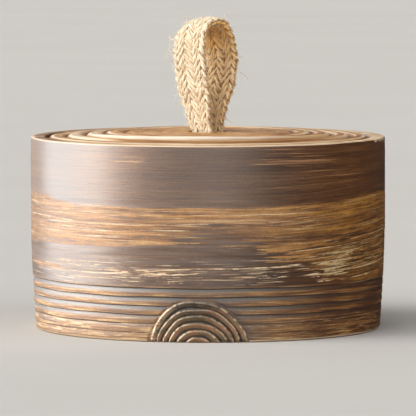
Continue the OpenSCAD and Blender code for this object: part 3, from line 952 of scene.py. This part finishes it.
def make_lid():
    """The lid: rings that wander like those of a log."""
    rows = lid_profile()
    sides, grain_r = 360, 9
    angle = full_turn(sides)
    r, z, lip, pit = columns(rows, 4, angle)
    top = in_zone(rows, "top")
    angle = angle + 0 * r
    free = span(r, HOLE_R + 1, HOLE_R + 8, LID_R - 7, LID_R - 1.5) * top
    spread = wave(angle, 31, (2, 3, 5), 0.35) + wave(angle + r / 17, 32, (4, 7, 11), 0.12)
    wandered = r + spread * free
    uneven = 0.1 * field(turned(r, angle, 0 * r) / 9)
    z = z + uneven * span(r, HOLE_R, HOLE_R + 4, LID_R - 3, LID_R) * top

    # Warped a little in the kiln: one ring stands up at the front and hides the weaker ones behind it
    front = np.clip(np.cos(angle), 0, 1) ** 1.5
    level = np.where(r > RING_GROOVES[3], dome(r), LID_TOP)
    weak = 0.8 * front * span(r, 24, 26, 37.6, 38.6) * top
    z = z + (level - z) * weak
    lip, pit = lip * (1 - weak), pit * (1 - weak)
    raised = 0.85 * bell(np.minimum(r - RAISED_WALL + 1.4, 0), 0, 2.6)
    raised = raised * (1 - smooth(RAISED_WALL - 0.9, RAISED_WALL + 0.2, r))
    z = z + front * (raised + 0.1 * smooth(38, 42, r)) * (top & (r < LID_R - 0.01))

    # Shade in the gap round the lid, under the raised ring and along the front
    x_mm, y_mm = r * np.sin(angle), -r * np.cos(angle)
    gap = front * bell(r, FRONT_GAP_R, 1.0) * smooth(-45, -15, x_mm)
    pit = np.maximum(pit, (0.2 + 0.25 * front) * bell(r, LID_R - 2.6, 0.6) * top)
    pit = np.maximum(pit, 0.45 * front * bell(r, RAISED_WALL - 0.45, 0.3))
    pit = np.maximum(pit, 0.6 * gap)
    # The lips are dimmed under the painted shade and painted brighter on the right
    lip = lip * (1 - pit) * (1 - 0.8 * gap) * (1 + 0.35 * smooth(15, 40, x_mm))

    # Painted highlight, pale on the raised ring's front and along two rings at the left
    pale = 0.85 * front * bell(r, RAISED_WALL - 1.25, 0.8) * (1 - smooth(18, 34, x_mm))
    for ring_r, wide, start, full in ((38.4, 1.4, -12, -30), (45, 1.6, -30, -42)):
        pale = pale + 0.4 * smooth(start, full, x_mm) * bell(r, ring_r, wide) * (1 - pit)
    attributes = {
        "ring": np.stack([r, grain_r * np.sin(angle), grain_r * np.cos(angle)], axis=-1),
        "lip": lip,
        "pit": pit,
        "dusk": smooth(0, 48, x_mm) * smooth(24, -24, y_mm) * (1 + 0.6 * bell(r, 39, 2)),
        "pale": np.clip(pale, 0, 1),
    }
    zone_material = [0 if row[-1] == "top" else 1 for row in rows]
    face_material = np.repeat(zone_material[1:] + zone_material[:1], r.shape[1])
    return mesh_piece("ringed_lid", turned(wandered, angle, z), ring_faces(*r.shape, closed_rows=True),
                      [lid_glaze(), bare_clay()], face_material, attributes)


# Strap

class Bundle:
    """Tubes that make one mesh, with the place of each point on its yarn."""

    def __init__(self):
        self.points, self.faces, self.yarn, self.count = [], [], [], 0

    def add(self, rings, yarn):
        """Adds the quads along a tube, and its flat ends."""
        steps, sides = rings.shape[:2]
        start, last = self.count, self.count + (steps - 1) * sides
        self.faces += [tuple(start + i for i in reversed(quad)) for quad in ring_faces(steps, sides)]
        self.faces.append(tuple(range(start, start + sides)))
        self.faces.append(tuple(range(last + sides - 1, last - 1, -1)))
        self.points.append(rings.reshape(-1, 3))
        self.yarn.append(yarn.reshape(-1, 3))
        self.count += steps * sides

    def piece(self, name, material, **attributes):
        attributes["yarn"] = np.concatenate(self.yarn)
        return mesh_piece(name, np.concatenate(self.points), self.faces, [material], None, attributes)


def tube(centre, side, up, half_w, half_t, sides, twist=0.0, ply=0.0):
    """Rings round a centre line, oval in the side and up directions."""
    count = len(centre)
    around = full_turn(sides)
    turn, half_w, half_t = (np.broadcast_to(v, (count,))[:, None] for v in (twist, half_w, half_t))
    swell = 1 + ply * np.cos(2 * (around - turn))
    wide = (half_w * swell * np.cos(around))[..., None] * side[:, None, :]
    high = (half_t * swell * np.sin(around))[..., None] * up[:, None, :]
    return centre[:, None, :] + wide + high


def side_and_up(line, up):
    """Directions square to a line at each of its points, the second as near to up as it can be."""
    along = unit(np.gradient(line, axis=0))
    side = unit(np.cross(along, up))
    return side, np.cross(side, along)


def yarn_places(along, sides, seed):
    """Places along and round a yarn, for the look of its fibres."""
    around = full_turn(sides) + 0 * along[:, None]
    return np.stack([along[:, None] + 0 * around + seed, np.cos(around), np.sin(around)], -1)


def run_length(line):
    """Length along a line up to each of its points."""
    return np.r_[0, np.cumsum(np.linalg.norm(np.diff(line, axis=0), axis=1))]


def strap_path():
    """Centre line of the strap, up one leg, round the loop and down the other: (out, up) and length."""
    crown = LOOP_TOP - STRAP_T / 2
    leg = [(-2.5, LID_UNDER - 1), (-2.5, LID_UNDER + 3), (-2.7, LID_TOP), (-3.5, FLEX_Z), (-4.4, FLEX_Z + 3)]
    front = [(-5.6, 77), (-7.2, 83.5), (-8.4, 90), (-8.8, 95), (-8.3, 99.3), (-6.6, crown - 1.5)]
    top = [(-3.6, crown - 0.2), (-0.6, crown), (2.0, crown - 1.0), (4.4, 99.6)]
    back = [(6.2, 94), (6.7, 89), (5.4, 83), (3.5, 76.5), (2.5, FLEX_Z + 2)]
    end = [(2.2, LID_TOP), (2.1, LID_UNDER + 3), (2.1, LID_UNDER - 1)]
    knots = np.array(leg + front + top + back + end, float)
    padded = np.concatenate([[2 * knots[0] - knots[1]], knots, [2 * knots[-1] - knots[-2]]])
    steps, spacing = 24, 0.36
    share = np.linspace(0, 1, steps, endpoint=False)[:, None]
    line = []
    for a, b, c, d in zip(padded, padded[1:], padded[2:], padded[3:]):
        line.append(0.5 * (2 * b + (c - a) * share + (2 * a - 5 * b + 4 * c - d) * share ** 2
                           + (3 * b - a - 3 * c + d) * share ** 3))
    line = np.concatenate(line)
    reached = run_length(line)
    length = np.arange(0, reached[-1], spacing)
    return np.stack([np.interp(length, reached, line[:, i]) for i in (0, 1)], 1), length


def triangle(phase):
    """Triangle wave from -1 to 1 and back over one turn, with slightly rounded corners."""
    sharp = 0.985
    return np.arcsin(sharp * np.sin(math.tau * (phase - 0.25))) / math.asin(sharp)


def over_under(phase, strands):
    """1 where a strand of a flat braid lies on top, -1 where it lies below: over two and under two."""
    phase = phase % 1
    crossings = np.cos(strands * math.pi * phase - math.pi)
    weave = np.where(phase < 0.5, crossings, -crossings)
    edge = 0.25 / strands
    from_left = np.where(phase > 0.5, phase - 1, phase)
    weave = np.where(np.abs(phase - 0.5) < edge, np.sin(math.pi / 2 * (phase - 0.5) / edge), weave)
    weave = np.where(np.abs(from_left) < edge, -np.sin(math.pi / 2 * from_left / edge), weave)
    snap = 2.4
    return np.tanh(snap * weave) / math.tanh(snap)


def slumped(points):
    """The loop's far edge slumps a little at the crown."""
    drop = 2.6 * smooth(0.5, -7.5, points @ STRAP_ACROSS) * smooth(88, 103, points[..., 2])
    return points - drop[..., None] * UP


def strap_frame():
    """Points, width direction, outward direction, width and length along the strap, in the part's frame."""
    line, length = strap_path()
    centre = line[:, :1] * STRAP_OUT + line[:, 1:] * UP
    across = np.repeat(STRAP_ACROSS[None, :], len(centre), axis=0)
    outward = unit(np.cross(across, unit(np.gradient(centre, axis=0))))
    width = STRAP_NECK_W + (STRAP_W - STRAP_NECK_W) * smooth(FLEX_Z - 3, FLEX_Z + 14, line[:, 1])
    return centre, across, outward, width, length


def make_strap():
    """Flat braid of paired jute yarns, each of three twisted plies, round a flat core, as one mesh."""
    strands, plies, period, sides = 8, 3, 44.0, 5
    centre, across, outward, width, length = strap_frame()
    draw = random.Random(7)
    bundle, height, inner, roots = Bundle(), [], [], []

    def add(rings, depth, seed):
        under = ((rings - centre[:, None, :]) * outward[:, None, :]).sum(-1)
        # Painted shade on the inner face, stronger up in the loop's crown
        crown = 0.55 + 0.45 * smooth(88, 99, rings[..., 2])
        inner.append((smooth(0.3, -0.5, under) * crown).ravel())
        height.append(np.broadcast_to(depth, under.shape).ravel())
        bundle.add(slumped(rings), yarn_places(length, rings.shape[1], seed))

    def ripple(size, short, long):
        """Unsteadiness of the yarns."""
        return size * np.sin(length / draw.uniform(short, long) + draw.uniform(0, 6))

    for strand in range(strands):
        for mate in (-1, 1):
            phase = length / period + strand / strands + mate / (4 * strands)
            phase = phase + 0.007 * np.sin(length / 9 + strand)
            jitter = ripple(0.2, 2.2, 3.4)
            lateral = triangle(phase) * (width / 2 - 0.85) + jitter
            lift = 0.48 * over_under(phase, strands) + 0.10 * np.sin(length / 1.7 + draw.uniform(0, 6))
            line = centre + across * lateral[:, None] + outward * lift[:, None]
            side, up = side_and_up(line, outward)
            roots.append((slumped(line), side, up))
            squeeze = 0.35 + 0.65 * width / STRAP_W
            twist = length * math.tau / 7.0 + draw.uniform(0, 6)
            for ply in range(plies):
                turn = twist + math.tau * ply / plies
                swell = 1 + ripple(0.24, 0.9, 2.2)
                aside = 0.42 * squeeze * np.cos(turn) + ripple(0.11, 0.7, 1.4)
                above = 0.28 * np.sin(turn)
                ply_line = line + side * aside[:, None] + up * above[:, None]
                # How far the ply stands out of the braid; the look paints the lower ones in shade
                facing = np.clip(np.abs(lift + above) / 0.78, 0, 1)
                rings = tube(ply_line, side, up, 0.40 * swell, 0.34 * swell, sides)
                add(rings, facing[:, None], 40 * strand + 17 * mate + 5 * ply)
    # Flat core, given a low height so that it is painted in shade between the yarns
    add(tube(centre, across, outward, width / 2 - 1.4, 0.30, 8), 0.2, 300)
    material = jute("jute_braid", (245, 235, 213), (232, 211, 177), (178, 141, 101))
    piece = bundle.piece("strap_braid", material, height=np.concatenate(height), inner=np.concatenate(inner))
    return piece, roots


def make_fibres(roots):
    """Loose jute fibres that stand off and curl away from the braid, as thin tubes."""
    draw = random.Random(19)
    bundle = Bundle()
    hairs, long_hairs, sides = 5200, 420, 3
    end, tries, far_edge, root = 20, 8, -4.5, 0.45

    def stray(size):
        return np.array([draw.gauss(0, size) for _ in range(3)])

    for n in range(hairs):
        line, side, up = roots[draw.randrange(len(roots))]
        k = draw.randrange(end, len(line) - end)
        curly = n < long_hairs
        # Long curls stand mostly off the far edge
        for _ in range(tries if curly and n % 2 else 0):
            if line[k] @ STRAP_ACROSS < far_edge:
                break
            k = draw.randrange(end, len(line) - end)
        around = draw.uniform(0, math.tau)
        reach = draw.uniform(2.5, 8.0) if curly else draw.uniform(0.6, 1.9)
        steps = 16 if curly else 3
        out = math.cos(around) * side[k] + math.sin(around) * up[k]
        along = unit(line[k + 1] - line[k]) * draw.choice((-1, 1))
        sway = stray(0.35)
        heading = unit(out * draw.uniform(0.5, 1.2) + along * draw.uniform(0.2, 1.3) + sway)
        axis = unit(stray(1))
        curl = math.radians(draw.uniform(60, 420) if curly else draw.uniform(10, 80)) / steps
        path = [line[k] + out * root]
        for _ in range(steps):
            heading = heading * math.cos(curl) + np.cross(axis, heading) * math.sin(curl)
            heading = unit(heading + 0.10 * stray(1))
            path.append(path[-1] + heading * reach / steps)
        path = np.array(path)
        if line[k][2] < LID_TOP or path[:, 2].min() < LID_TOP + 0.3:
            continue
        aside, above = side_and_up(path, axis)
        thickness = draw.uniform(0.7, 1.1) if curly else draw.uniform(0.45, 0.7)
        radius = np.linspace(0.11, 0.06, len(path)) * thickness
        far = np.linspace(0, reach, len(path))[:, None] + np.zeros((1, sides)) + 31 * n
        bundle.add(tube(path, aside, above, radius, radius, sides),
                   np.stack([far, 0 * far + n % 7, 0 * far], -1))
    material = jute("jute_fibre", (252, 240, 214), (240, 218, 180), (206, 172, 124))
    return bundle.piece("strap_fibres", material, height=np.full(bundle.count, 0.8))


def make_knot():
    """The strap's two ends, twisted together and knotted under the lid."""
    sides, strands, rope_r, strand_r, twists = 8, 4, 1.15, 1.1, 9
    turn = np.linspace(0, math.tau, 260)
    spread = 5.1 + 2.2 * np.cos(3 * turn)
    middle = LID_UNDER - 5.0
    height = middle + 2.5 * np.sin(3 * turn)
    centre = np.stack([spread * np.cos(2 * turn), spread * np.sin(2 * turn), height], 1)
    across, above = side_and_up(centre, UP)
    length = run_length(centre)
    bundle = Bundle()
    for strand in range(strands):
        spin = math.tau * (length / length[-1] * twists + strand / strands)
        line = centre + rope_r * (np.cos(spin)[:, None] * across + np.sin(spin)[:, None] * above)
        side, up = side_and_up(line, above)
        rings = tube(line, side, up, strand_r, strand_r, sides, length * 1.1, 0.08)
        bundle.add(rings, yarn_places(length, sides, 50 * strand))
    material = jute("jute_knot", (240, 218, 176), (212, 172, 120), (128, 86, 48))
    return bundle.piece("strap_end_knot", material, height=np.full(bundle.count, 0.6))


# Stage

def towards(azimuth, height):
    """Direction of a lamp or the camera, from angles in degrees."""
    azimuth, height = math.radians(azimuth), math.radians(height)
    flat = math.cos(height)
    return Vector((math.sin(azimuth) * flat, -math.cos(azimuth) * flat, math.sin(height)))


def lamp(name, azimuth, height, spread, strength, colour):
    """A soft sun from one side."""
    light = bpy.data.lights.new(name, "SUN")
    light.energy = strength
    light.angle = math.radians(spread)
    light.color = colour
    piece = link(name, light)
    piece.rotation_mode = "QUATERNION"
    piece.rotation_quaternion = towards(azimuth, height).to_track_quat("Z", "Y")
    return piece


def make_stage():
    """Pale floor, soft light from the left and the camera at the photograph's angle."""
    half = 5.0 / MM
    corners = [(-half, -half, 0), (half, -half, 0), (half, half, 0), (-half, half, 0)]
    floor = mesh_piece("floor", corners, [(0, 1, 2, 3)], [pale_floor()])
    floor.visible_glossy = False

    # The sheen and the glow show only as gloss, and the fill lifts the right without any
    lamp("key", -72, 22, 50, 3.3, (1, 0.975, 0.94))
    lamp("front", -15, 18, 70, 1.3, (1, 0.975, 0.95))
    lamp("high", -35, 60, 40, 0.9, (1, 0.99, 0.98))
    lamp("back", -150, 24, 60, 0.6, (1, 1, 1))
    lamp("sheen", -94, 8, 70, 6.8, (1, 0.985, 0.97)).visible_diffuse = False
    lamp("glow", 20, 10, 40, 0.62, (1, 0.97, 0.94)).visible_diffuse = False
    lamp("fill", 60, 30, 60, 1.1, (1, 0.99, 0.98)).visible_glossy = False

    scene = bpy.context.scene
    scene.world = bpy.data.worlds.new("studio")
    scene.world.use_nodes = True
    background = scene.world.node_tree.nodes["Background"].inputs
    background["Color"].default_value = (0.95, 0.97, 1.0, 1)
    background["Strength"].default_value = 0.04

    azimuth, elevation, distance = 3.3, 4.05, 1.7
    frame_width, sensor, look_z = 0.141, 36.0, 0.0403
    data = bpy.data.cameras.new("camera")
    data.sensor_width = sensor
    data.lens = sensor * distance / frame_width
    data.clip_end = 20
    camera = link("camera", data)
    back = towards(azimuth, elevation)
    camera.location = Vector((0, 0, look_z)) + back * distance
    camera.rotation_mode = "QUATERNION"
    camera.rotation_quaternion = (-back).to_track_quat("-Z", "Y")
    scene.camera = camera
    scene.view_settings.view_transform = "Standard"


def dress(piece, slot, *nodes):
    """Hides the solids that a piece stands for; the slot is not used."""
    if nodes:
        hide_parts(*nodes)


make_stage()

pot = make_pot()
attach(pot, "canister")
dress(pot, "stoneware", "canister_body")

lid = make_lid()
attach(lid, "lid")
dress(lid, "lid_stoneware", "lid")

seal = frame["nodes"]["lid_seal"]
seal.data.materials.clear()
seal.data.materials.append(silicone())

strap, yarn_roots = make_strap()
fibres = make_fibres(yarn_roots)
bend = {"start": (0, 0, LID_TOP * MM), "end": (0, 0, (FLEX_Z + 4) * MM)}
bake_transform(strap)
dress(strap, "jute", "strap_loop")
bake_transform(fibres)
dress(fibres, "jute")

end_knot = make_knot()
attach(end_knot, "lid")
dress(end_knot, "jute", "strap_knot")
